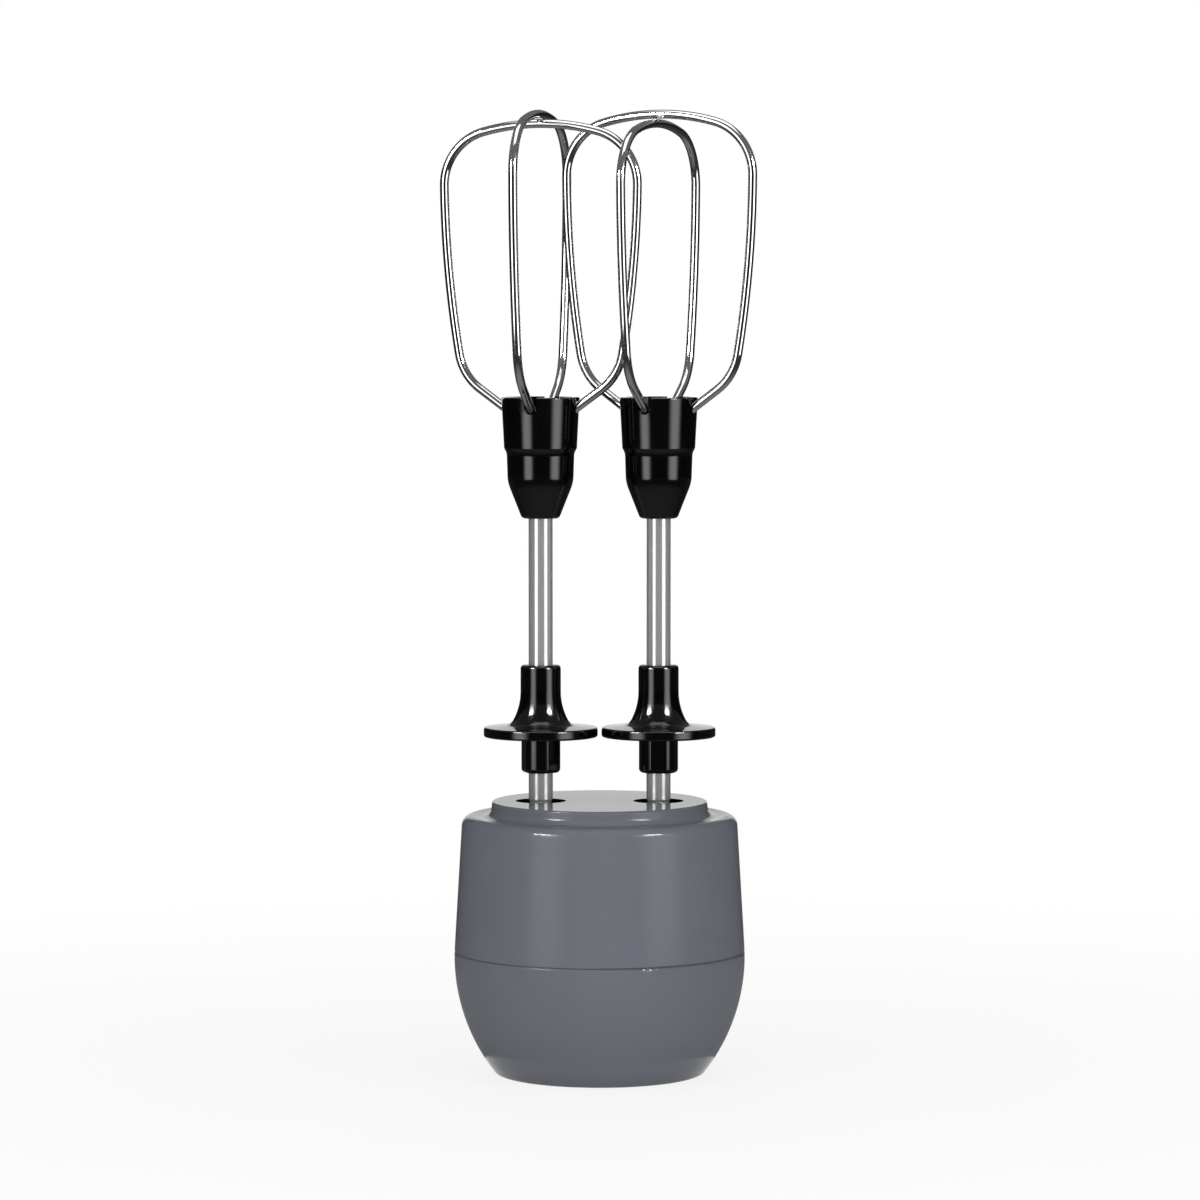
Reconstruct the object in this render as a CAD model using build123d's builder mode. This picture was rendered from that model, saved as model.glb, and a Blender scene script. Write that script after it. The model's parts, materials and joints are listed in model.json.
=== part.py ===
from build123d import *
import os
from math import acos, atan2, cos, degrees, pi, radians, sin, sqrt, tan

# Twin-beater mixing attachment: a gearbox that stands on its motor end, with two beaters drawn out.
# Origin at the centre of the base, +Z up, X through both beater axes, front towards -Y, millimetres.

# Housing shells
housing_radius = 38.3
seam_height = 32.5
wall = 2.4
belly_drop = 1.5
base_land = 5.4
base_edge_radius = 1.6
seam_edge_radius = 0.3
lower_rim_radius = 0.7
side_height = 36.1
side_draft = 2.15
shoulder_radius = 2.8
shoulder_dip = 0.6
shoulder_width = 7.45
deck_height = 4.0
deck_draft = 0.4
deck_foot_radius = 2.4
deck_edge_radius = 0.5
deck_thickness = 3.0
seal_height = 1.0
tongue_height = 3.0
tongue_thickness = 1.2
joint_gap = 0.15

# Motor socket in the base
socket_radius = 22.0
socket_depth = 8.0
socket_wall = 2.2
keyway_count = 3
keyway_width = 7.0
keyway_depth = 1.4
boss_wall = 1.6
recess_radius = 9.0
recess_depth = 8.0
recess_roof = 2.0

# Clearances
running_gap = 0.05
seat_gap = 0.02
shaft_gap = 0.1
sleeve_gap = 0.3
end_gap = 0.3
cup_gap = 0.5
nib_gap = 0.2
disc_gap = 1.0

# Beater holes and beaters
beater_spacing = 31.0
hole_radius = 6.65
drawn_out = 16.5
disc_lift = 0.5
shaft_radius = 3.175
shaft_reach = 32.5
shaft_tip_chamfer = 0.6
detent_groove = 0.35
sleeve_radius = 5.15
sleeve_length = 9.5
sleeve_flat_depth = 0.43
sleeve_flats = 3
sleeve_edge_radius = 1.1
sleeve_key_radius = 1.0
disc_rim = 2.5
disc_cone_rise = 0.6
disc_edge_radius = 0.5
flare_foot_radius = 8.0
flare_foot_blend = 3.0
neck_radius = 5.3
neck_height = 19.0
flare_radius = 16.5
neck_edge_radius = 1.0
hub_lift = 57.5
hub_height = 31.8
hub_rim_radius = 10.3
hub_step_radius = 9.6
hub_waist_radius = 8.9
hub_belly_radius = 8.65
hub_nose_radius = 4.9
hub_step_height = 18.5
hub_chamfer = 1.4
hub_cone_height = 9.4
hub_cone_blend = 9.5
hub_waist_blend = 3.0
hub_nose_edge = 1.2
hub_rim_edge = 0.35
cup_radius = 8.2
cup_depth = 5.0
shaft_seat = 21.5
notch_width = 3.4
notch_depth = 4.4

# Wire loops
wire_radius = 1.175
loop_gap = 0.1
loop_radius = 26.25
loop_height = 73.9
widest_height = 59.6
crown_radius = 60.0
corner_radius = 14.4
side_radius = 290.0
foot_radius = 14.5
lead_angle = 36.0
lead_height = 2.4
lead_end_radius = 4.6

# Turns of the over loop and of the sleeve's first flat about each beater's axis, in degrees
left_loop_turn = 75.0
right_loop_turn = 157.3
left_flat_turn = 317.5
right_flat_turn = 270.0

# Gear train
pressure_angle = 25.0
addendum = 0.8
dedendum = 1.0
backlash = 0.12
output_teeth = 31
pinion_teeth = 10
wheel_teeth = 30
fast_module = 0.8
wheel_width = 5.0
output_width = 6.5
gear_gap = 1.5

# Gear cage and shafts
plate_thickness = 3.0
plate_gap = 0.8
post_inset = 3.2
post_radius = 2.4
post_angles = (57.0, 131.0, 236.0, 304.0)
screw_radius = 1.2
screw_head_radius = 2.2
screw_head_height = 2.0
screw_hex_depth = 1.0
hex_sides = 6
screw_grip = 9.0
bush_wall = 1.9
flange_height = 1.0
flange_width = 1.1
input_radius = 2.0
coupling_radius = 7.5
coupling_length = 7.0
drive_hex_radius = 4.2
drive_hex_depth = 4.5
clip_height = 0.8
clip_width = 1.3
clip_groove = 0.4
clip_mouth = 2.6
clip_room = 0.2
idler_radius = 2.0
idler_washer_radius = 5.0
journal_radius = 4.5
seat_radius = 5.2
seat_flat = 4.6
spindle_collar_radius = 7.2
spindle_collar_height = 2.0
spindle_radius = 5.8
upper_bush_length = 10.0
cup_wall = 2.4
spring_height = 1.6
spring_groove = 0.8
spring_stock = 0.9
spring_nib_radius = 0.7
spring_below_cup = 4.0

# Heights of the housing
belly_height = seam_height - belly_drop
base_radius = socket_radius + base_land
base_inset = housing_radius - base_radius
belly_radius = (belly_height**2 + base_inset**2) / (2 * base_inset)
belly_centre = housing_radius - belly_radius
shoulder_height = seam_height + side_height
deck_foot = shoulder_height - shoulder_dip
deck_top = deck_foot + deck_height
rim_radius = housing_radius - side_draft
deck_foot_edge = rim_radius - shoulder_width
deck_radius = deck_foot_edge - deck_draft
recess_top = socket_depth + recess_depth
carrier_bottom = recess_top + recess_roof
carrier_top = carrier_bottom + plate_thickness

# Heights of the gear train
flange_top = carrier_top + flange_height
wheel_bottom = flange_top + clip_height + clip_room
wheel_top = wheel_bottom + wheel_width
output_bottom = wheel_top + gear_gap
output_top = output_bottom + output_width
collar_top = output_top + spindle_collar_height
cover_bottom = collar_top + end_gap + flange_height
cover_top = cover_bottom + plate_thickness

# Heights of the beaters, at rest
disc_bottom = deck_top + disc_lift + drawn_out
sleeve_bottom = disc_bottom - sleeve_length
shaft_tip = disc_bottom - shaft_reach
hub_bottom = disc_bottom + hub_lift
hub_top = hub_bottom + hub_height
cup_floor = hub_top - cup_depth
shaft_top = hub_bottom + shaft_seat

# Heights of the drive spindles, set by where a pushed-in beater ends
spindle_bore_bottom = shaft_tip - drawn_out - disc_lift
spindle_cup_floor = sleeve_bottom - drawn_out - disc_lift
spindle_cup_radius = sleeve_radius + sleeve_gap
spindle_top = deck_top - deck_thickness - disc_lift
spindle_cup_bottom = spindle_cup_floor - cup_wall
spring_top = spindle_cup_bottom - spring_below_cup

# Each side: beater axis, turn of the over loop, turn of the sleeve's flats
half_spacing = beater_spacing / 2
axes = {"left": -half_spacing, "right": half_spacing}
loop_turns = {"left": left_loop_turn, "right": right_loop_turn}
flat_turns = {"left": left_flat_turn, "right": right_flat_turn}
axis_points = [(x, 0) for x in axes.values()]
disc_radius = half_spacing - disc_gap / 2


def belly(height, inset=0.0):
    """Radius of the lower shell's side at a height, inset from the outer face."""
    rise = height - belly_height
    return belly_centre + sqrt((belly_radius - inset) ** 2 - rise**2)


def polar(radius, angle):
    """Point at a radius and an angle in degrees."""
    return (radius * cos(radians(angle)), radius * sin(radians(angle)))


def circles_meet(first, first_reach, second, second_reach):
    """Point at one reach from each of two points, on the left of the way from first to second."""
    dx = second[0] - first[0]
    dy = second[1] - first[1]
    span = sqrt(dx**2 + dy**2)
    along = (first_reach**2 - second_reach**2 + span**2) / (2 * span)
    across = sqrt(first_reach**2 - along**2)
    x = first[0] + (dx * along - dy * across) / span
    y = first[1] + (dy * along + dx * across) / span
    return (x, y)


def towards(centre, point, reach):
    """Point at a reach from a centre, in the direction of another point."""
    dx = point[0] - centre[0]
    dy = point[1] - centre[1]
    span = sqrt(dx**2 + dy**2)
    return (centre[0] + dx * reach / span, centre[1] + dy * reach / span)


def arc_between(centre, start, end):
    """Short arc round a centre from start to end, drawn in the open line."""
    reach = sqrt((start[0] - centre[0]) ** 2 + (start[1] - centre[1]) ** 2)
    middle = ((start[0] + end[0]) / 2, (start[1] + end[1]) / 2)
    ThreePointArc(start, towards(centre, middle, reach), end)


def round_corner(sketch, corner, radius):
    """Round the corner of an open sketch that lies nearest to a point."""
    fillet(sketch.vertices().sort_by_distance(Vector(*corner))[0], radius)


def level(height, x=0.0, y=0.0):
    """Level plane at a height, with its origin on an upright axis."""
    return Plane(origin=(x, y, height))


def upright(x, turn=0.0):
    """Upright plane through a beater axis, turned about it."""
    along = polar(1, turn)
    return Plane(origin=(x, 0, 0), x_dir=(*along, 0), z_dir=(along[1], -along[0], 0))


def spin_axis(x):
    """Upright axis of a beater."""
    return Axis((x, 0, 0), (0, 0, 1))


def ring(plane, inner, outer, height):
    """Plain ring that stands on a plane."""
    standing = (Align.CENTER, Align.CENTER, Align.MIN)
    with Locations(plane):
        Cylinder(outer, height, align=standing)
        Cylinder(inner, height, align=standing, mode=Mode.SUBTRACT)


def save(piece, name):
    """Label a finished piece and write its file."""
    piece.part.label = name
    export_step(piece.part, f"parts/{name}.step")


os.makedirs("parts", exist_ok=True)

# The idler axis stands off the input axis by the fast pair and off the left axis by the slow pair
output_module = beater_spacing / output_teeth
fast_reach = fast_module * (wheel_teeth + pinion_teeth) / 2
slow_reach = output_module * (output_teeth + pinion_teeth) / 2
idler_x, idler_y = circles_meet((-half_spacing, 0), slow_reach, (0, 0), fast_reach)

plate_radius = belly(carrier_bottom, wall) - plate_gap
post_points = [polar(plate_radius - post_inset, angle) for angle in post_angles]

lower_bush_radius = journal_radius + running_gap + bush_wall
upper_bush_radius = spindle_radius + running_gap + bush_wall
input_bush_radius = input_radius + running_gap + bush_wall


# Lower shell: belly, motor socket with keyways, posts for the gear cage
rebate_radius = belly(seam_height, wall) + tongue_thickness + joint_gap
rebate_depth = tongue_height + seal_height
boss_radius = recess_radius + socket_wall
socket_floor_top = socket_depth + socket_wall
socket_tube = socket_radius + socket_wall

with BuildPart() as lower_cavity:
    with BuildSketch(Plane.XZ):
        with BuildLine():
            foot = (belly(wall, wall), wall)
            rim = (belly(seam_height, wall), seam_height)
            Polyline(rim, (0, seam_height), (0, wall), foot)
            arc_between((belly_centre, belly_height), foot, rim)
        make_face()
    revolve(axis=Axis.Z)
    with BuildSketch(Plane.XY):
        Circle(socket_tube)
    extrude(amount=socket_floor_top, mode=Mode.SUBTRACT)
    with BuildSketch(Plane.XY):
        Circle(boss_radius)
        with Locations(*post_points):
            Circle(post_radius)
    extrude(amount=carrier_bottom, mode=Mode.SUBTRACT)
    with Locations((0, 0, seam_height)):
        Cylinder(rebate_radius, rebate_depth, align=(Align.CENTER, Align.CENTER, Align.MAX))

with BuildPart() as lower_housing:
    with BuildSketch(Plane.XZ) as belly_profile:
        with BuildLine():
            Polyline((0, seam_height), (0, 0), (belly(0), 0))
            arc_between((belly_centre, belly_height), (belly(0), 0), (belly(seam_height), seam_height))
            Line((belly(seam_height), seam_height), (0, seam_height))
        make_face()
        round_corner(belly_profile, (belly(0), 0), base_edge_radius)
        round_corner(belly_profile, (belly(seam_height), seam_height), lower_rim_radius)
    revolve(axis=Axis.Z)
    add(lower_cavity.part, mode=Mode.SUBTRACT)
    with BuildSketch(Plane.XY):
        Circle(socket_radius)
        with PolarLocations(socket_radius, keyway_count, start_angle=90):
            Rectangle(2 * keyway_depth, keyway_width)
    extrude(amount=socket_depth, mode=Mode.SUBTRACT)
    with BuildSketch(Plane.XY):
        Circle(recess_radius)
    extrude(amount=recess_top, mode=Mode.SUBTRACT)
    with BuildSketch(Plane.XY):
        Circle(input_bush_radius + seat_gap)
    extrude(amount=carrier_bottom, mode=Mode.SUBTRACT)
    with Locations(*[(x, y, carrier_bottom) for x, y in post_points]):
        Hole(screw_radius + seat_gap, depth=screw_grip)
save(lower_housing, "lower_housing")


# Upper shell: tapered side, rounded shoulder that dips to a raised deck with the beater holes, tongue below
inner_rim = rim_radius - wall
inner_deck = deck_radius - wall
room_top = deck_foot - wall
deck_under = deck_top - deck_thickness
cup_room = spindle_cup_radius + cup_wall + cup_gap
tongue_inner = belly(seam_height, wall)

with BuildPart() as upper_housing:
    with BuildSketch(Plane.XZ) as shell_profile:
        with BuildLine():
            Polyline(
                (0, seam_height),
                (belly(seam_height), seam_height),
                (rim_radius, shoulder_height),
                (deck_foot_edge, deck_foot),
                (deck_radius, deck_top),
                (0, deck_top),
                close=True,
            )
        make_face()
        round_corner(shell_profile, (belly(seam_height), seam_height), seam_edge_radius)
        round_corner(shell_profile, (rim_radius, shoulder_height), shoulder_radius)
        round_corner(shell_profile, (deck_foot_edge, deck_foot), deck_foot_radius)
        round_corner(shell_profile, (deck_radius, deck_top), deck_edge_radius)
    revolve(axis=Axis.Z)
    with BuildSketch(Plane.XZ):
        with BuildLine():
            Polyline(
                (0, seam_height),
                (tongue_inner, seam_height),
                (inner_rim, room_top),
                (inner_deck, room_top),
                (inner_deck, deck_under),
                (0, deck_under),
                close=True,
            )
        make_face()
    revolve(axis=Axis.Z, mode=Mode.SUBTRACT)
    with BuildSketch(Plane.XY.offset(seam_height)):
        Circle(tongue_inner + tongue_thickness)
        Circle(tongue_inner, mode=Mode.SUBTRACT)
    extrude(amount=-tongue_height)
    with BuildSketch(Plane.XY.offset(deck_under)):
        with Locations(*axis_points):
            Circle(cup_room + boss_wall)
    extrude(amount=room_top - deck_under)
    with BuildSketch(Plane.XY.offset(deck_under)):
        with Locations(*axis_points):
            Circle(cup_room)
    extrude(amount=room_top - deck_under, mode=Mode.SUBTRACT)
    with Locations(*[(x, y, deck_top) for x, y in axis_points]):
        Hole(hole_radius, depth=deck_thickness)
save(upper_housing, "upper_housing")

with BuildPart() as housing_seal:
    ring(level(seam_height - rebate_depth), tongue_inner, tongue_inner + tongue_thickness, seal_height)
save(housing_seal, "housing_seal")


# Gear cage: two plates with seats for the bushes and the idler pin, spacers and long screws


def cage_plate(bush_radius, centre_radius):
    """Outline of a cage plate: disc with bush seats, screw holes, pin hole and any centre hole."""
    Circle(plate_radius)
    with Locations(*axis_points):
        Circle(bush_radius + seat_gap, mode=Mode.SUBTRACT)
    with Locations(*post_points):
        Circle(screw_radius + seat_gap, mode=Mode.SUBTRACT)
    with Locations((idler_x, idler_y)):
        Circle(idler_radius + seat_gap, mode=Mode.SUBTRACT)
    Circle(centre_radius, mode=Mode.SUBTRACT)


with BuildPart() as carrier_plate:
    with BuildSketch(Plane.XY.offset(carrier_bottom)):
        cage_plate(lower_bush_radius, input_bush_radius + seat_gap)
    extrude(amount=plate_thickness)
save(carrier_plate, "carrier_plate")

with BuildPart() as cover_plate:
    with BuildSketch(Plane.XY.offset(cover_bottom)):
        cage_plate(upper_bush_radius, input_bush_radius)
    extrude(amount=plate_thickness)
save(cover_plate, "cover_plate")

with BuildPart() as cage_spacers:
    with BuildSketch(Plane.XY.offset(carrier_top)):
        with Locations(*post_points):
            Circle(post_radius)
            Circle(screw_radius + seat_gap, mode=Mode.SUBTRACT)
    extrude(amount=cover_bottom - carrier_top)
save(cage_spacers, "cage_spacers")

with BuildPart() as cage_screws:
    with BuildSketch(Plane.XY.offset(carrier_bottom - screw_grip)):
        with Locations(*post_points):
            Circle(screw_radius)
    extrude(amount=screw_grip + cover_top - carrier_bottom)
    with BuildSketch(Plane.XY.offset(cover_top)):
        with Locations(*post_points):
            Circle(screw_head_radius)
    extrude(amount=screw_head_height)
    with BuildSketch(Plane.XY.offset(cover_top + screw_head_height)):
        with Locations(*post_points):
            RegularPolygon(screw_radius, hex_sides)
    extrude(amount=-screw_hex_depth, mode=Mode.SUBTRACT)
save(cage_screws, "cage_screws")


def flanged_bush(x, bore, outer, body, flange_bottom):
    """Plain bush with one flange, whose body runs from one height to another."""
    bottom, top = body
    ring(level(bottom, x), bore, outer, top - bottom)
    ring(level(flange_bottom, x), bore, outer + flange_width, flange_height)


with BuildPart() as input_bush:
    flanged_bush(0, input_radius + running_gap, input_bush_radius, (recess_top, carrier_top), carrier_top)
save(input_bush, "input_bush")

for side, axis_x in axes.items():
    lower_body = (carrier_bottom, carrier_top)
    with BuildPart() as lower_bush:
        flanged_bush(axis_x, journal_radius + running_gap, lower_bush_radius, lower_body, carrier_top)
    save(lower_bush, f"{side}_lower_bush")

    upper_body = (cover_bottom, cover_bottom + upper_bush_length)
    upper_flange = cover_bottom - flange_height
    with BuildPart() as upper_bush:
        flanged_bush(axis_x, spindle_radius + running_gap, upper_bush_radius, upper_body, upper_flange)
    save(upper_bush, f"{side}_upper_bush")

with BuildPart() as idler_pin:
    with BuildSketch(level(carrier_bottom, idler_x, idler_y)):
        Circle(idler_radius)
    extrude(amount=cover_top - carrier_bottom)
    chamfer(idler_pin.edges().group_by(Axis.Z)[-1], clip_groove)
save(idler_pin, "idler_pin")

with BuildPart() as idler_washer:
    washer_height = wheel_bottom - carrier_top - clip_room
    ring(level(carrier_top, idler_x, idler_y), idler_radius + running_gap, idler_washer_radius, washer_height)
save(idler_washer, "idler_washer")


def gear_outline(teeth, module, phase):
    """Closed involute outline in the open line, with the middle of one tooth at the phase angle."""
    pitch = teeth * module / 2
    base = pitch * cos(radians(pressure_angle))
    tip = pitch + addendum * module
    root = pitch - dedendum * module
    foot = max(base, root)

    def half_tooth(radius):
        slope = acos(base / radius)
        at_pitch = radians(pressure_angle)
        half_width = (pi * module / 2 - backlash) / (2 * pitch)
        return degrees(half_width + tan(at_pitch) - at_pitch - tan(slope) + slope)

    middle = (foot + tip) / 2
    step = 360 / teeth
    for number in range(teeth):
        centre = phase + number * step
        rising = [polar(radius, centre - half_tooth(radius)) for radius in (foot, middle, tip)]
        falling = [polar(radius, centre + half_tooth(radius)) for radius in (tip, middle, foot)]
        root_in = polar(root, centre - half_tooth(foot))
        root_out = polar(root, centre + half_tooth(foot))
        if root < base:
            Line(root_in, rising[0])
            Line(falling[-1], root_out)
        ThreePointArc(*rising)
        Line(rising[-1], falling[0])
        ThreePointArc(*falling)
        Line(root_out if root < base else falling[-1], polar(root, centre + step - half_tooth(foot)))


def meshed_phase(driver_teeth, driver_phase, driven_teeth, line_angle):
    """Phase of a driven gear whose gap takes the driver's nearest tooth on the line of centres."""
    pitch_angle = 360 / driver_teeth
    nearest = driver_phase + round((line_angle - driver_phase) / pitch_angle) * pitch_angle
    gap = line_angle + 180 - (nearest - line_angle) * driver_teeth / driven_teeth
    return gap + 180 / driven_teeth


slow_line = degrees(atan2(idler_y, idler_x + half_spacing))
fast_line = degrees(atan2(-idler_y, -idler_x))
slow_phase = meshed_phase(output_teeth, 0, pinion_teeth, slow_line)
fast_phase = meshed_phase(wheel_teeth, fast_line, pinion_teeth, fast_line)

with BuildPart() as idler_gear:
    with BuildSketch(level(wheel_bottom, idler_x, idler_y)):
        with BuildLine():
            gear_outline(wheel_teeth, fast_module, fast_line)
        make_face()
    extrude(amount=wheel_width)
    with BuildSketch(level(wheel_top, idler_x, idler_y)):
        with BuildLine():
            gear_outline(pinion_teeth, output_module, slow_phase)
        make_face()
    extrude(amount=output_top - wheel_top)
    with Locations((idler_x, idler_y, output_top)):
        Hole(idler_radius + running_gap, depth=output_top - wheel_bottom)
save(idler_gear, "idler_gear")


# Input line: coupling in the recess, shaft, circlip on the bush, pinion
coupling_top = recess_top - end_gap
coupling_bottom = coupling_top - coupling_length
input_top = wheel_top + gear_gap / 2
clip_bottom = flange_top + clip_room / 2
clip_outer = input_radius + clip_width

with BuildPart() as drive_coupling:
    with BuildSketch(Plane.XY.offset(coupling_bottom)):
        Circle(coupling_radius)
    extrude(amount=coupling_length)
    chamfer(drive_coupling.edges().group_by(Axis.Z)[0], clip_groove)
    with BuildSketch(Plane.XY.offset(coupling_bottom)):
        RegularPolygon(drive_hex_radius, hex_sides)
    extrude(amount=drive_hex_depth, mode=Mode.SUBTRACT)
    with Locations((0, 0, coupling_top)):
        Hole(input_radius + seat_gap, depth=coupling_length - drive_hex_depth)
save(drive_coupling, "drive_coupling")

with BuildPart() as input_shaft:
    with BuildSketch(Plane.XY.offset(coupling_bottom + drive_hex_depth)):
        Circle(input_radius)
    extrude(amount=input_top - coupling_bottom - drive_hex_depth)
    with BuildSketch(Plane.XY.offset(clip_bottom)):
        Circle(input_radius)
        Circle(input_radius - clip_groove, mode=Mode.SUBTRACT)
    extrude(amount=clip_height, mode=Mode.SUBTRACT)
save(input_shaft, "input_shaft")


def circlip_outline(shaft, outer):
    """Outline of an open retaining ring that sits in a groove of a shaft."""
    Circle(outer)
    Circle(shaft - clip_groove + seat_gap, mode=Mode.SUBTRACT)
    Rectangle(outer, clip_mouth, align=(Align.MIN, Align.CENTER), mode=Mode.SUBTRACT)


with BuildPart() as input_circlip:
    with BuildSketch(level(clip_bottom)):
        circlip_outline(input_radius, clip_outer)
    extrude(amount=clip_height)
save(input_circlip, "input_circlip")

with BuildPart() as input_pinion:
    with BuildSketch(Plane.XY.offset(wheel_bottom)):
        with BuildLine():
            gear_outline(pinion_teeth, fast_module, fast_phase)
        make_face()
        Circle(input_radius + seat_gap, mode=Mode.SUBTRACT)
    extrude(amount=wheel_width)
save(input_pinion, "input_pinion")


# Drive spindles: journals, gear seat with two flats, bore for the shaft, keyed cup for the sleeve
def keyed_circle(radius, flat_reach, turn):
    """Circle with the sleeve's flats cut on it."""
    Circle(radius)
    with PolarLocations(flat_reach, sleeve_flats, start_angle=turn):
        Rectangle(radius, 2 * radius, align=(Align.MIN, Align.CENTER), mode=Mode.SUBTRACT)


sleeve_flat_reach = sleeve_radius - sleeve_flat_depth
gear_clip_bottom = output_bottom - clip_height - clip_room / 2
spring_bottom = spring_top - spring_height
spring_inner = spindle_radius - spring_groove

for side, axis_x in axes.items():
    with BuildPart() as spindle:
        with BuildSketch(upright(axis_x)):
            with BuildLine():
                Polyline(
                    (0, carrier_bottom + end_gap),
                    (journal_radius, carrier_bottom + end_gap),
                    (journal_radius, gear_clip_bottom),
                    (journal_radius - clip_groove, gear_clip_bottom),
                    (journal_radius - clip_groove, gear_clip_bottom + clip_height),
                    (seat_radius, gear_clip_bottom + clip_height),
                    (seat_radius, output_top),
                    (spindle_collar_radius, output_top),
                    (spindle_collar_radius, collar_top),
                    (spindle_radius, collar_top),
                    (spindle_radius, spring_bottom),
                    (spring_inner, spring_bottom),
                    (spring_inner, spring_top),
                    (spindle_radius, spring_top),
                    (spindle_radius, spindle_cup_bottom),
                    (spindle_cup_radius + cup_wall, spindle_cup_bottom),
                    (spindle_cup_radius + cup_wall, spindle_top),
                    (0, spindle_top),
                    close=True,
                )
            make_face()
        revolve(axis=spin_axis(axis_x))
        with BuildSketch(level(output_bottom, axis_x)):
            Circle(seat_radius)
            Rectangle(2 * seat_radius, 2 * seat_flat, mode=Mode.SUBTRACT)
        extrude(amount=output_width, mode=Mode.SUBTRACT)
        with BuildSketch(level(spindle_cup_floor, axis_x)):
            keyed_circle(spindle_cup_radius, sleeve_flat_reach + sleeve_gap, flat_turns[side])
        extrude(amount=spindle_top - spindle_cup_floor, mode=Mode.SUBTRACT)
        with Locations((axis_x, 0, spindle_cup_floor)):
            Hole(shaft_radius + shaft_gap, depth=spindle_cup_floor - spindle_bore_bottom)
        with BuildSketch(Plane.YZ.offset(axis_x)):
            with Locations((0, (spring_bottom + spring_top) / 2)):
                Circle(spring_nib_radius + seat_gap)
        extrude(amount=spindle_radius, mode=Mode.SUBTRACT)
    save(spindle, f"{side}_spindle")

    with BuildPart() as output_gear:
        with BuildSketch(level(output_bottom, axis_x)):
            with BuildLine():
                gear_outline(output_teeth, output_module, 0)
            make_face()
            with BuildSketch(mode=Mode.SUBTRACT):
                Circle(seat_radius + seat_gap)
                Rectangle(2 * (seat_radius + seat_gap), 2 * (seat_flat + seat_gap), mode=Mode.INTERSECT)
        extrude(amount=output_width)
    save(output_gear, f"{side}_output_gear")

    with BuildPart() as gear_circlip:
        with BuildSketch(level(gear_clip_bottom, axis_x)):
            circlip_outline(journal_radius, seat_radius + clip_width)
        extrude(amount=clip_height)
    save(gear_circlip, f"{side}_gear_circlip")

    with BuildPart() as retaining_spring:
        with BuildSketch(level(spring_bottom, axis_x)):
            Circle(spring_inner + seat_gap + spring_stock)
            Circle(spring_inner + seat_gap, mode=Mode.SUBTRACT)
            Rectangle(2 * spindle_radius, clip_mouth, align=(Align.MAX, Align.CENTER), mode=Mode.SUBTRACT)
        extrude(amount=spring_height)
        with BuildSketch(Plane.YZ.offset(axis_x + shaft_radius + nib_gap)):
            with Locations((0, (spring_bottom + spring_top) / 2)):
                Circle(spring_nib_radius)
        extrude(amount=spring_inner + spring_stock - shaft_radius - nib_gap)
    save(retaining_spring, f"{side}_retaining_spring")


# Beaters: shaft, splash collar, hub and two crossed wire loops
def loop_points(apex):
    """Centres and tangent points of one half of a wire loop, as (reach, height) pairs."""
    crown_centre = (0, apex - crown_radius)
    side_centre = (loop_radius - side_radius, hub_top + widest_height)
    corner_centre = circles_meet(
        side_centre, side_radius - corner_radius, crown_centre, crown_radius - corner_radius
    )
    lead = (cos(radians(lead_angle)), sin(radians(lead_angle)))
    entry = (hub_rim_radius, hub_top - lead_height)
    rail = (entry[0] - foot_radius * lead[1], entry[1] + foot_radius * lead[0])
    offset = (rail[0] - side_centre[0], rail[1] - side_centre[1])
    along = offset[0] * lead[0] + offset[1] * lead[1]
    short = offset[0] ** 2 + offset[1] ** 2 - (side_radius - foot_radius) ** 2
    run = sqrt(along**2 - short) - along
    foot_centre = (rail[0] + run * lead[0], rail[1] + run * lead[1])
    end_run = (lead_end_radius - entry[0]) / lead[0]
    return {
        "end": (lead_end_radius, entry[1] + end_run * lead[1]),
        "lead": (entry[0] + run * lead[0], entry[1] + run * lead[1]),
        "foot_centre": foot_centre,
        "foot": towards(side_centre, foot_centre, side_radius),
        "side_centre": side_centre,
        "corner_centre": corner_centre,
        "corner": towards(side_centre, corner_centre, side_radius),
        "crown": towards(crown_centre, corner_centre, crown_radius),
        "apex": (0, apex),
    }


def wire_half(points, hand):
    """One half of a loop in the open line, from the crown down to its end in the hub."""
    place = {name: (hand * reach, height) for name, (reach, height) in points.items()}
    arc_between(place["corner_centre"], place["crown"], place["corner"])
    arc_between(place["side_centre"], place["corner"], place["foot"])
    arc_between(place["foot_centre"], place["foot"], place["lead"])
    Line(place["lead"], place["end"])


over_apex = hub_top + loop_height
under_apex = over_apex - 2 * wire_radius - loop_gap
notch_bottom = hub_top - notch_depth
detent_height = (spring_bottom + spring_top) / 2 + drawn_out
step_height = hub_bottom + hub_step_height
cone_top = hub_bottom + hub_cone_height

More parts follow.
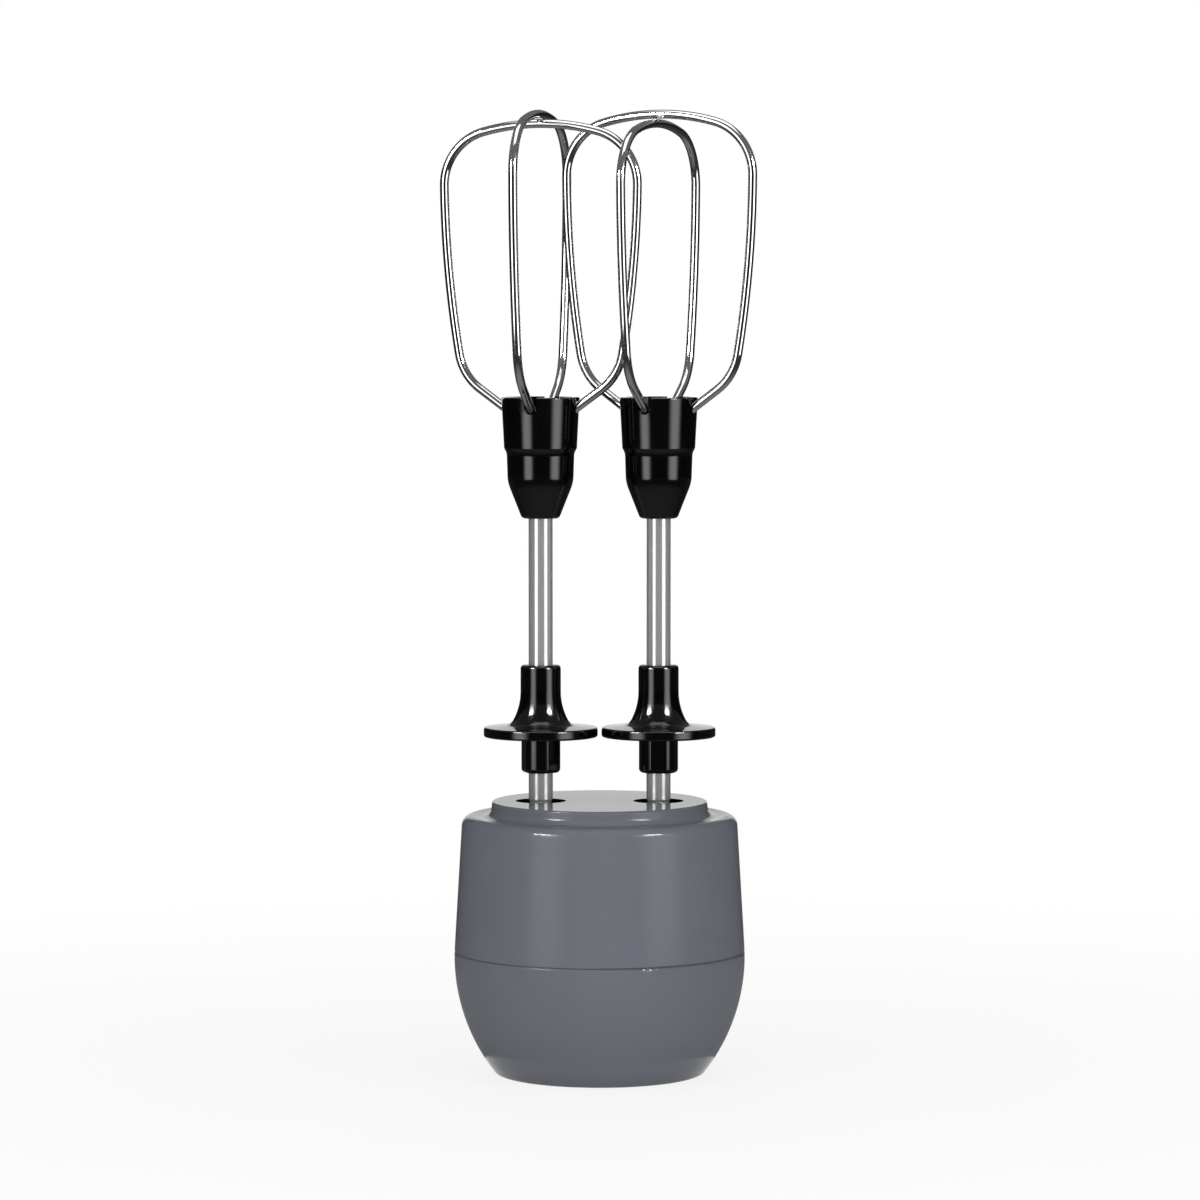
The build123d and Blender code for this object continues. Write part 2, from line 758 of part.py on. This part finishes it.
for side, axis_x in axes.items():
    with BuildPart() as shaft:
        with BuildSketch(upright(axis_x)) as shaft_profile:
            with BuildLine():
                Polyline(
                    (0, shaft_tip),
                    (shaft_radius, shaft_tip),
                    (shaft_radius, detent_height - spring_nib_radius),
                    (shaft_radius - detent_groove, detent_height),
                    (shaft_radius, detent_height + spring_nib_radius),
                    (shaft_radius, shaft_top),
                    (0, shaft_top),
                    close=True,
                )
            make_face()
            tip_edge = shaft_profile.vertices().sort_by_distance((shaft_radius, shaft_tip, 0))[0]
            chamfer(tip_edge, shaft_tip_chamfer)
        revolve(axis=spin_axis(axis_x))
    save(shaft, f"{side}_shaft")

    with BuildPart() as splash_collar:
        with BuildSketch(level(sleeve_bottom, axis_x)):
            keyed_circle(sleeve_radius, sleeve_flat_reach, flat_turns[side])
        extrude(amount=sleeve_length)
        fillet(splash_collar.edges().filter_by(Axis.Z), sleeve_key_radius)
        fillet(splash_collar.edges().group_by(Axis.Z)[0], sleeve_edge_radius)
        with BuildSketch(upright(axis_x)) as bell_profile:
            with BuildLine():
                rim_top = disc_bottom + disc_rim
                flare_foot = (flare_foot_radius, rim_top + disc_cone_rise)
                flare_reach = flare_foot_radius - neck_radius
                flare_rise = sqrt(flare_radius**2 - (flare_radius - flare_reach) ** 2)
                flare_centre = (neck_radius + flare_radius, flare_foot[1] + flare_rise)
                flare_top = (neck_radius, flare_centre[1])
                neck_top = disc_bottom + neck_height
                Polyline((0, neck_top), (0, disc_bottom), (disc_radius, disc_bottom), (disc_radius, rim_top))
                Line((disc_radius, rim_top), flare_foot)
                arc_between(flare_centre, flare_foot, flare_top)
                Polyline(flare_top, (neck_radius, neck_top), (0, neck_top))
            make_face()
            round_corner(bell_profile, (disc_radius, disc_bottom), disc_edge_radius)
            round_corner(bell_profile, (disc_radius, rim_top), disc_edge_radius)
            round_corner(bell_profile, flare_foot, flare_foot_blend)
            round_corner(bell_profile, (neck_radius, neck_top), neck_edge_radius)
        revolve(axis=spin_axis(axis_x))
        with Locations((axis_x, 0, neck_top)):
            Hole(shaft_radius + seat_gap, depth=neck_top - sleeve_bottom)
    save(splash_collar, f"{side}_splash_collar")

    loop_turn = loop_turns[side]
    over = loop_points(over_apex)
    under = loop_points(under_apex)
    lead_run = (hub_rim_radius + notch_width - lead_end_radius) / cos(radians(lead_angle))
    with BuildPart() as hub:
        with BuildSketch(upright(axis_x)) as hub_profile:
            with BuildLine():
                Polyline(
                    (0, hub_bottom),
                    (hub_nose_radius, hub_bottom),
                    (hub_belly_radius, cone_top),
                    (hub_waist_radius, step_height - hub_chamfer),
                    (hub_step_radius, step_height),
                    (hub_rim_radius, hub_top),
                    (cup_radius, hub_top),
                    (cup_radius, cup_floor),
                    (0, cup_floor),
                    close=True,
                )
            make_face()
            round_corner(hub_profile, (hub_nose_radius, hub_bottom), hub_nose_edge)
            round_corner(hub_profile, (hub_belly_radius, cone_top), hub_cone_blend)
            round_corner(hub_profile, (hub_waist_radius, step_height - hub_chamfer), hub_waist_blend)
            round_corner(hub_profile, (hub_rim_radius, hub_top), hub_rim_edge)
        revolve(axis=spin_axis(axis_x))
        with Locations((axis_x, 0, hub_bottom + shaft_seat)):
            Hole(shaft_radius + seat_gap, depth=shaft_seat)
        for quarter, loop in enumerate((over, under, over, under)):
            turn = loop_turn + quarter * 90
            outward = polar(1, turn)
            across = (-outward[1], outward[0], 0)
            with BuildSketch(Plane(origin=(axis_x, 0, notch_bottom), x_dir=across, z_dir=(*outward, 0))):
                with Locations((0, notch_width / 2)):
                    Circle(notch_width / 2)
                    Rectangle(notch_width, notch_depth, align=(Align.CENTER, Align.MIN))
            extrude(amount=2 * hub_rim_radius, mode=Mode.SUBTRACT)
            reach, height = loop["end"]
            rise = tan(radians(lead_angle))
            end = (axis_x + reach * outward[0], reach * outward[1], height)
            with BuildSketch(Plane(origin=end, z_dir=(*outward, rise))):
                Circle(wire_radius + running_gap)
            extrude(amount=lead_run, mode=Mode.SUBTRACT)
    save(hub, f"{side}_hub")

    for name, points, turn in (("over", over, loop_turn), ("under", under, loop_turn + 90)):
        with BuildPart() as loop:
            with BuildLine(upright(axis_x, turn)) as path:
                wire_half(points, -1)
                ThreePointArc((-points["crown"][0], points["crown"][1]), points["apex"], points["crown"])
                wire_half(points, 1)
            route = path.wires()[0]
            with BuildSketch(Plane(origin=route @ 0, z_dir=route % 0)):
                Circle(wire_radius)
            sweep(path=route)
        save(loop, f"{side}_{name}_loop")
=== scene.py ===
# %% [markdown]
# # Twin-beater mixing attachment
# A grey gearbox stands on its motor socket and holds two wire beaters, drawn a little out of their
# holes. The solid model already has every piece at its true size and place, with the small radii on
# its edges, so no piece is remade here. What is left is the look: a finish for each piece, and a white
# studio in which grey plastic, black plastic and bright steel can be told apart. Lengths are in metres.

# %% Load the frame
import json
from math import cos, pi, radians, sin

import bpy
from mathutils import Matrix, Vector

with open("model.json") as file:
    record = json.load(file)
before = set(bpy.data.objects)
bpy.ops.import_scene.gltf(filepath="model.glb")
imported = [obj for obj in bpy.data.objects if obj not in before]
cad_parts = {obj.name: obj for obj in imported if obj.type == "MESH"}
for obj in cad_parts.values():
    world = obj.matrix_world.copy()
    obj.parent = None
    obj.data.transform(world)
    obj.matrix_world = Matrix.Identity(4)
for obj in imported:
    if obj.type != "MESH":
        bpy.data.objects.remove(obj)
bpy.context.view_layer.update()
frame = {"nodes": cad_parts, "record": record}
mm = 0.001

# %% [markdown]
# ## Helpers for materials
# Colours are written as sRGB hex values, the way a paint chart gives them, and Cycles wants linear
# light, so one function converts them. A second one adds any shader node with its settings and links,
# which keeps a material short enough to read as a recipe. The third is that recipe: no moulded, drawn
# or plated surface is quite even, so colour and roughness drift a little over patches of a few
# millimetres, and a finer grain lifts the surface by a few thousandths of a millimetre.

# %% Colour, node and surface helpers
def linear(code):
    """Linear red, green, blue and alpha of an sRGB hex colour."""
    shares = [int(code[place:place + 2], 16) / 255 for place in (1, 3, 5)]
    return [s / 12.92 if s <= 0.04045 else ((s + 0.055) / 1.055) ** 2.4 for s in shares] + [1.0]


def add_node(tree, kind, values=None, links=None, **settings):
    """A new shader node with its socket values, the sockets that feed it, and its own settings."""
    made = tree.nodes.new("ShaderNode" + kind)
    for name, setting in settings.items():
        setattr(made, name, setting)
    for socket, value in (values or {}).items():
        made.inputs[socket].default_value = value
    for socket, source in (links or {}).items():
        tree.links.new(source, made.inputs[socket])
    return made


def surface(name, colours, rough, patch, grain, grain_height, stretch=(1, 1, 1), **sockets):
    """Material whose colour and roughness drift over patches, with a fine grain as bump."""
    material = bpy.data.materials.new(name)
    material.use_nodes = True
    tree = material.node_tree
    shader = tree.nodes["Principled BSDF"]
    place = add_node(tree, "TexCoord")
    stretched = add_node(tree, "Mapping", {"Scale": stretch}, {"Vector": place.outputs["Object"]})
    drift = add_node(
        tree, "TexNoise", {"Scale": 1 / patch, "Detail": 3.0}, {"Vector": stretched.outputs["Vector"]}
    )
    shade = add_node(tree, "ValToRGB", links={"Fac": drift.outputs["Fac"]})
    for stop, code in zip(shade.color_ramp.elements, colours):
        stop.color = linear(code)
    smear = add_node(
        tree, "MapRange", {"To Min": rough[0], "To Max": rough[1]}, {"Value": drift.outputs["Fac"]}
    )
    fine = add_node(
        tree, "TexNoise", {"Scale": 1 / grain, "Detail": 2.0}, {"Vector": stretched.outputs["Vector"]}
    )
    relief = add_node(
        tree, "Bump", {"Distance": grain_height, "Strength": 1.0}, {"Height": fine.outputs["Fac"]}
    )
    tree.links.new(shade.outputs["Color"], shader.inputs["Base Color"])
    tree.links.new(smear.outputs["Result"], shader.inputs["Roughness"])
    tree.links.new(relief.outputs["Normal"], shader.inputs["Normal"])
    for socket, value in sockets.items():
        shader.inputs[socket.replace("_", " ")].default_value = value
    print("material:", name)
    return material


# %% [markdown]
# ## Moulded plastics
# The shells are grey ABS from a lightly blasted mould, and the hubs, collars and drive pieces are black
# nylon from a polished one. A clear coat over a matt base could make such a gloss, but plain moulded
# plastic has only one surface, so one roughness is enough.

# %% Plastics that show
# Satin grey: the eye gets an even colour with wide, soft highlights, and a mirror only at a low angle.
shell_abs = surface(
    "satin moulded ABS", colours=("#696c73", "#6f727a"), rough=(0.13, 0.16),
    patch=22 * mm, grain=2.5 * mm, grain_height=0.002 * mm, Specular_IOR_Level=0.13,
)
# Deep black: the eye gets the lights as clean upright strips, and next to nothing between them.
black_nylon = surface(
    "polished black nylon", colours=("#020203", "#050506"), rough=(0.08, 0.13),
    patch=9 * mm, grain=1.6 * mm, grain_height=0.001 * mm, Specular_IOR_Level=0.62,
)

# %% [markdown]
# ## Stainless steel
# The shafts are ground bar and the loops are drawn wire, polished after they were bent. Both are the
# same metal, and the difference is in what the grinding leaves. Lines along the bar scatter part of the
# light, so the bar stays mid grey between its two white strips, while the wire is a small mirror with
# dark edges. The scatter is given here by a lower metallic share, which is steadier at few samples than
# lines too fine for the picture.

# %% Bar and wire
# Ground bar: grey with fine lines along its length, drawn coarser than the real grit so that they show.
ground_bar = surface(
    "ground stainless bar", colours=("#cccccc", "#d4d4d4"), rough=(0.12, 0.16),
    patch=5 * mm, grain=0.5 * mm, grain_height=0.0004 * mm, stretch=(1, 1, 0.06), Metallic=0.6,
)
# Polished wire: white and near-black lines side by side, as a thin rod mirrors the whole room.
bright_wire = surface(
    "polished stainless wire", colours=("#dcdcdc", "#e4e4e4"), rough=(0.06, 0.09),
    patch=12 * mm, grain=3 * mm, grain_height=0.0003 * mm, Metallic=1.0,
)

# %% [markdown]
# ## The works inside
# The gear cage can only be seen with the shells off, but whoever takes them off should find real
# materials: zinc-plated plates and pins, a cut steel pinion, sintered bronze bushes that hold oil in
# their pores, white acetal gears and a rubber ring in the seam.

# %% Materials of the gear cage
# Zinc plate: bluish grey with cloudy, blurred highlights.
zinc_plate = surface(
    "zinc-plated steel", colours=("#a9abad", "#c0c2c4"), rough=(0.3, 0.45),
    patch=6 * mm, grain=0.6 * mm, grain_height=0.004 * mm, Metallic=1.0,
)
# Cut steel: darker, with the broken gleam of tool marks.
cut_steel = surface(
    "cut steel", colours=("#8c8c8e", "#a4a4a6"), rough=(0.25, 0.4),
    patch=3 * mm, grain=0.3 * mm, grain_height=0.004 * mm, Metallic=1.0,
)
# Sintered bronze: a dull gold that looks sandy close to.
oil_bronze = surface(
    "sintered bronze", colours=("#a9804d", "#c29a63"), rough=(0.35, 0.55),
    patch=2 * mm, grain=0.35 * mm, grain_height=0.01 * mm, Metallic=1.0,
)
# Acetal: a waxy off-white with a soft sheen.
white_acetal = surface(
    "moulded acetal", colours=("#dcd9cd", "#e8e6dc"), rough=(0.32, 0.42),
    patch=8 * mm, grain=0.8 * mm, grain_height=0.004 * mm, IOR=1.48,
)
# Rubber: matt charcoal that hardly shines.
black_rubber = surface(
    "moulded rubber", colours=("#141414", "#1f1f1f"), rough=(0.6, 0.75),
    patch=4 * mm, grain=0.4 * mm, grain_height=0.01 * mm, IOR=1.52,
)

# %% [markdown]
# ## Finish by piece
# The record names a material slot for each piece, so one table is enough to dress them all. Bar and
# wire share a slot, because they are one steel, and the loops are told apart by their names.

# %% Dress the pieces
finishes = {
    "grey_housing": shell_abs,
    "black_plastic": black_nylon,
    "polished_steel": ground_bar,
    "plate_steel": zinc_plate,
    "pinion_steel": cut_steel,
    "bush_bronze": oil_bronze,
    "gear_nylon": white_acetal,
    "seal_rubber": black_rubber,
}
slot_of = {part["node"]: part["material_slot"] for part in frame["record"]["subparts"]}
for name, node in frame["nodes"].items():
    node.data.materials.clear()
    node.data.materials.append(bright_wire if name.endswith("_loop") else finishes[slot_of[name]])
print("dressed pieces:", len(slot_of))

# %% [markdown]
# ## Painted shade in the beater holes
# The grey wall of each hole in the deck is painted black, as painted shade for the deep recess, so the
# holes read as dark rings round the shafts. The faces of each hole's wall take the black nylon. Each
# hole lies on the axis that its beater spins about, and the record has both.

# %% Paint shade into the beater holes
hole_radius = 6.65 * mm
slack = 0.01 * mm
hole_axes = []
for joint in frame["record"]["behaviour"]["joints"]:
    if joint["name"] in ("left_spin", "right_spin"):
        hole_axes.append(Vector(joint["pos_m"]).xy)

upper_shell = frame["nodes"]["upper_housing"]
# A second slot of black nylon: painted shade on the grey walls of the beater holes.
upper_shell.data.materials.append(black_nylon)
painted_shade_faces = 0
for face in upper_shell.data.polygons:
    spot = upper_shell.matrix_world @ face.center
    off_axis = min((spot.xy - axis).length for axis in hole_axes)
    upright = abs(face.normal.z) < 0.5
    # Upright faces inside a hole get the painted shade.
    if upright and off_axis < hole_radius + slack:
        face.material_index = 1
        painted_shade_faces += 1
print("black faces in the beater holes:", painted_shade_faces)

# %% [markdown]
# ## Camera
# The picture is taken from a little above the hubs, far enough away that the two beaters look upright.
# Depth of field is left off, as in a catalogue picture, where all of the object is sharp.

# %% Camera
aim = Vector((0.1 * mm, 0, 125 * mm))
camera_distance = 1.33
camera_height = 209 * mm
view_width = 315.4 * mm
sensor_width = 36.0

camera_data = bpy.data.cameras.new("camera")
camera = bpy.data.objects.new("camera", camera_data)
bpy.context.collection.objects.link(camera)
camera.location = (aim.x, -camera_distance, camera_height)
line_of_sight = aim - camera.location
camera.rotation_euler = line_of_sight.to_track_quat("-Z", "Y").to_euler()
camera_data.sensor_width = sensor_width
camera_data.lens = sensor_width * line_of_sight.length / view_width
bpy.context.scene.camera = camera
bpy.context.scene.view_settings.view_transform = "Standard"
print("lens, mm:", round(camera_data.lens, 1))

# %% [markdown]
# ## Lights
# A studio lamp is a panel of cloth, brighter in some places than in others. Blender's area lamp is
# even, but its nodes know the spot on the panel that a ray leaves from. One ramp up the panel and one
# across it turn the even lamp into cloth.

# %% Lamp panels
def around(azimuth, distance, height):
    """Point at an azimuth to the right of the camera's side, seen from the object."""
    turn = radians(azimuth)
    return Vector((distance * sin(turn), -distance * cos(turn), height))


def soft_light(name, place, width, height, glow, across=((0, 1), (1, 1))):
    """Lamp panel that faces the object: stops of its radiance up the panel, and of its share across."""
    lamp = bpy.data.lights.new(name, "AREA")
    lamp.shape = "RECTANGLE"
    lamp.size = width
    lamp.size_y = height
    lamp.energy = pi * width * height
    lamp.use_nodes = True
    tree = lamp.node_tree
    panel = add_node(tree, "NewGeometry")
    spot = add_node(tree, "SeparateXYZ", None, {0: panel.outputs["Parametric"]})
    for way, levels, socket in (("Y", glow, "Color"), ("X", across, "Strength")):
        spread = add_node(tree, "ValToRGB", None, {"Fac": spot.outputs[way]})
        spread.color_ramp.interpolation = "EASE"
        stops = spread.color_ramp.elements
        for share, level in levels:
            # A new ramp already has a stop at each end.
            stop = stops[-share] if share in (0, 1) else stops.new(share)
            stop.color = (level, level, level, 1.0)
        tree.links.new(spread.outputs["Color"], tree.nodes["Emission"].inputs[socket])
    light = bpy.data.objects.new(name, lamp)
    bpy.context.collection.objects.link(light)
    light.location = place
    light.rotation_euler = (aim - place).to_track_quat("-Z", "Y").to_euler()
    print("light:", name)
    return light


# %% [markdown]
# ### Softboxes
# Two upright softboxes stand left and right in front, and their mirror images are the strips on the
# hubs and shafts. They reach down to the table, because the necks mirror what is low, and fade out at
# the top and to the sides, so that the strips have soft edges and end softly where the wires bend. A
# third one overhead lights the deck.

# %% Softboxes
box_glow = ((0, 3.0), (0.55, 3.0), (1, 0.3))
box_sides = ((0, 0), (0.4, 1), (0.6, 1), (1, 0))
box_distance = 0.62
box_tall = 0.5
box_middle = 5 * mm + box_tall / 2
for name, azimuth, width in (("left_box", -43, 0.48), ("right_box", 51, 0.54)):
    place = around(azimuth, box_distance, box_middle)
    soft_light(name, place, width, box_tall, box_glow, box_sides)

top_place = Vector((0, -0.15, 1.25))
top_side = 0.9
top_glow = ((0, 1.6), (1, 1.6))
soft_light("top_box", top_place, top_side, top_side, top_glow)

# %% [markdown]
# ### Glints and fills
# The glints on the shoulder come from two small hot lamps, one before the upper half of each softbox.
# Only mirrors see them, so they add no light to what is matt. The fills are the other way round: one
# low in front lifts the belly of the gearbox, one does so for its back, and as no mirror sees them,
# black stays black.

# %% Glints and fills
glint_glow = ((0, 1.5), (0.5, 14.0), (1, 160.0))
glint_distance = 0.6
glint_middle = 0.36
glint_width = 0.19
glint_tall = 0.18
for name, azimuth in (("left_glint", -50), ("right_glint", 47)):
    place = around(azimuth, glint_distance, glint_middle)
    glint = soft_light(name, place, glint_width, glint_tall, glint_glow)
    glint.visible_diffuse = False

fill_distance = 0.8
fill_width = 0.5
fill_tall = 0.3
for name, azimuth, middle, level in (("front_fill", 0, 0.08, 4.4), ("back_fill", 180, 0.25, 5.0)):
    place = around(azimuth, fill_distance, middle)
    fill = soft_light(name, place, fill_width, fill_tall, ((0, level), (1, level)))
    fill.visible_glossy = False

# %% [markdown]
# ## White room
# The background is white paper. More light would bleach the object too, so the room is white only to
# the rays that look at it: those from the camera, off a mirror, or through glass. The light that it
# gives to the object stays low. The paper on the floor glows in the same way, a little less near the
# object, where the share that is plain matt paper keeps a soft shadow.

# %% White room
def looking(tree):
    """Socket that is 1 for rays from the camera, off a mirror or through glass, and 0 for the rest."""
    ray = add_node(tree, "LightPath")
    kinds = [ray.outputs[name] for name in ("Is Camera Ray", "Is Glossy Ray", "Is Transmission Ray")]
    either = add_node(tree, "Math", None, {0: kinds[0], 1: kinds[1]}, operation="MAXIMUM")
    any_kind = add_node(tree, "Math", None, {0: either.outputs[0], 1: kinds[2]}, operation="MAXIMUM")
    return any_kind.outputs[0]


white = linear("#ffffff")
room_light = 0.2
room = bpy.data.worlds.new("white room")
bpy.context.scene.world = room
room.use_nodes = True
tree = room.node_tree
tree.nodes.clear()
given = add_node(tree, "Background", {"Color": white, "Strength": room_light})
seen = add_node(tree, "Background", {"Color": white, "Strength": 1.0})
either = add_node(tree, "MixShader", None, {0: looking(tree), 1: given.outputs[0], 2: seen.outputs[0]})
add_node(tree, "OutputWorld", None, {"Surface": either.outputs["Shader"]})
print("world:", room.name)

# %% Paper on the floor
floor_radius = 4.0
shadow_reach = 0.06
paper_edge = 0.4
near_glow = 0.85

bpy.ops.mesh.primitive_circle_add(vertices=128, radius=floor_radius, fill_type="NGON")
floor = bpy.context.object
floor.name = "floor"
paper = bpy.data.materials.new("white paper")
paper.use_nodes = True
tree = paper.node_tree
tree.nodes.clear()
place = add_node(tree, "TexCoord")
reach = add_node(tree, "VectorMath", None, {0: place.outputs["Object"]}, operation="LENGTH")
fade = add_node(
    tree, "MapRange",
    {"From Min": shadow_reach, "From Max": paper_edge, "To Min": near_glow, "To Max": 1.0},
    {"Value": reach.outputs["Value"]},
)
glows = {0: fade.outputs["Result"], 1: looking(tree)}
share = add_node(tree, "Math", None, glows, operation="MULTIPLY")
matt = add_node(tree, "BsdfDiffuse", {"Color": linear("#f0f0f0")})
glow = add_node(tree, "Emission", {"Color": white, "Strength": 1.0})
both = add_node(tree, "MixShader", None, {0: share.outputs[0], 1: matt.outputs[0], 2: glow.outputs[0]})
add_node(tree, "OutputMaterial", None, {"Surface": both.outputs["Shader"]})
floor.data.materials.append(paper)
print("floor radius, m:", floor_radius)

# %% [markdown]
# ## Cards that only mirrors see
# In an all-white room, steel and black plastic would turn white. A photographer stands dark cards round
# the object, just outside the picture. These do the same, and only mirror rays meet them, so they take
# no light from the object: a dark wall with a gap at the back, through which the deck mirrors the white
# room, a dim band and roof above it that turn the crowns of the loops grey, and a dark table.

# %% Cards
def card(name, rings, turn_from, turn_to, radiance):
    """Band between two circles about the object, each a (radius, height), lit from near to far."""
    near, far = 0.14, 0.34
    steps = 64
    corners = []
    for step in range(steps + 1):
        azimuth = turn_from + (turn_to - turn_from) * step / steps
        corners += [around(azimuth, distance, height) for distance, height in rings]
    panels = [(2 * step, 2 * step + 2, 2 * step + 3, 2 * step + 1) for step in range(steps)]
    mesh = bpy.data.meshes.new(name)
    mesh.from_pydata(corners, [], panels)
    board = bpy.data.materials.new(name)
    board.use_nodes = True
    tree = board.node_tree
    tree.nodes.clear()
    spot = add_node(tree, "TexCoord")
    reach = add_node(tree, "VectorMath", None, {0: spot.outputs["Object"]}, operation="LENGTH")
    level = add_node(
        tree, "MapRange",
        {"From Min": near, "From Max": far, "To Min": radiance[0], "To Max": radiance[1]},
        {"Value": reach.outputs["Value"]},
    )
    glow = add_node(tree, "Emission", {"Color": white}, {"Strength": level.outputs["Result"]})
    add_node(tree, "OutputMaterial", None, {"Surface": glow.outputs["Emission"]})
    mesh.materials.append(board)
    made = bpy.data.objects.new(name, mesh)
    bpy.context.collection.objects.link(made)
    made.visible_camera = False
    made.visible_diffuse = False
    made.visible_shadow = False
    made.visible_transmission = False
    print("card:", name)


# Rings of the cards, from the table up, as (radius, height).
card_radius = 1.4
table_rise = 0.2 * mm
table_inner, table_outer = (35 * mm, table_rise), (card_radius, table_rise)
wall_foot, wall_top = (card_radius, 0), (card_radius, 0.55)
band_top = (card_radius, 1.2)
roof_top = (0.1, 2.0)

half_gap = 14.0
dark, dim, table_shades = (0.015, 0.015), (0.15, 0.15), (0.2, 0.04)
card("wall_card", (wall_foot, wall_top), half_gap - 180, 180 - half_gap, dark)
card("band_card", (wall_top, band_top), -180, 180, dim)
card("roof_card", (band_top, roof_top), -180, 180, dim)
card("table_card", (table_inner, table_outer), -180, 180, table_shades)
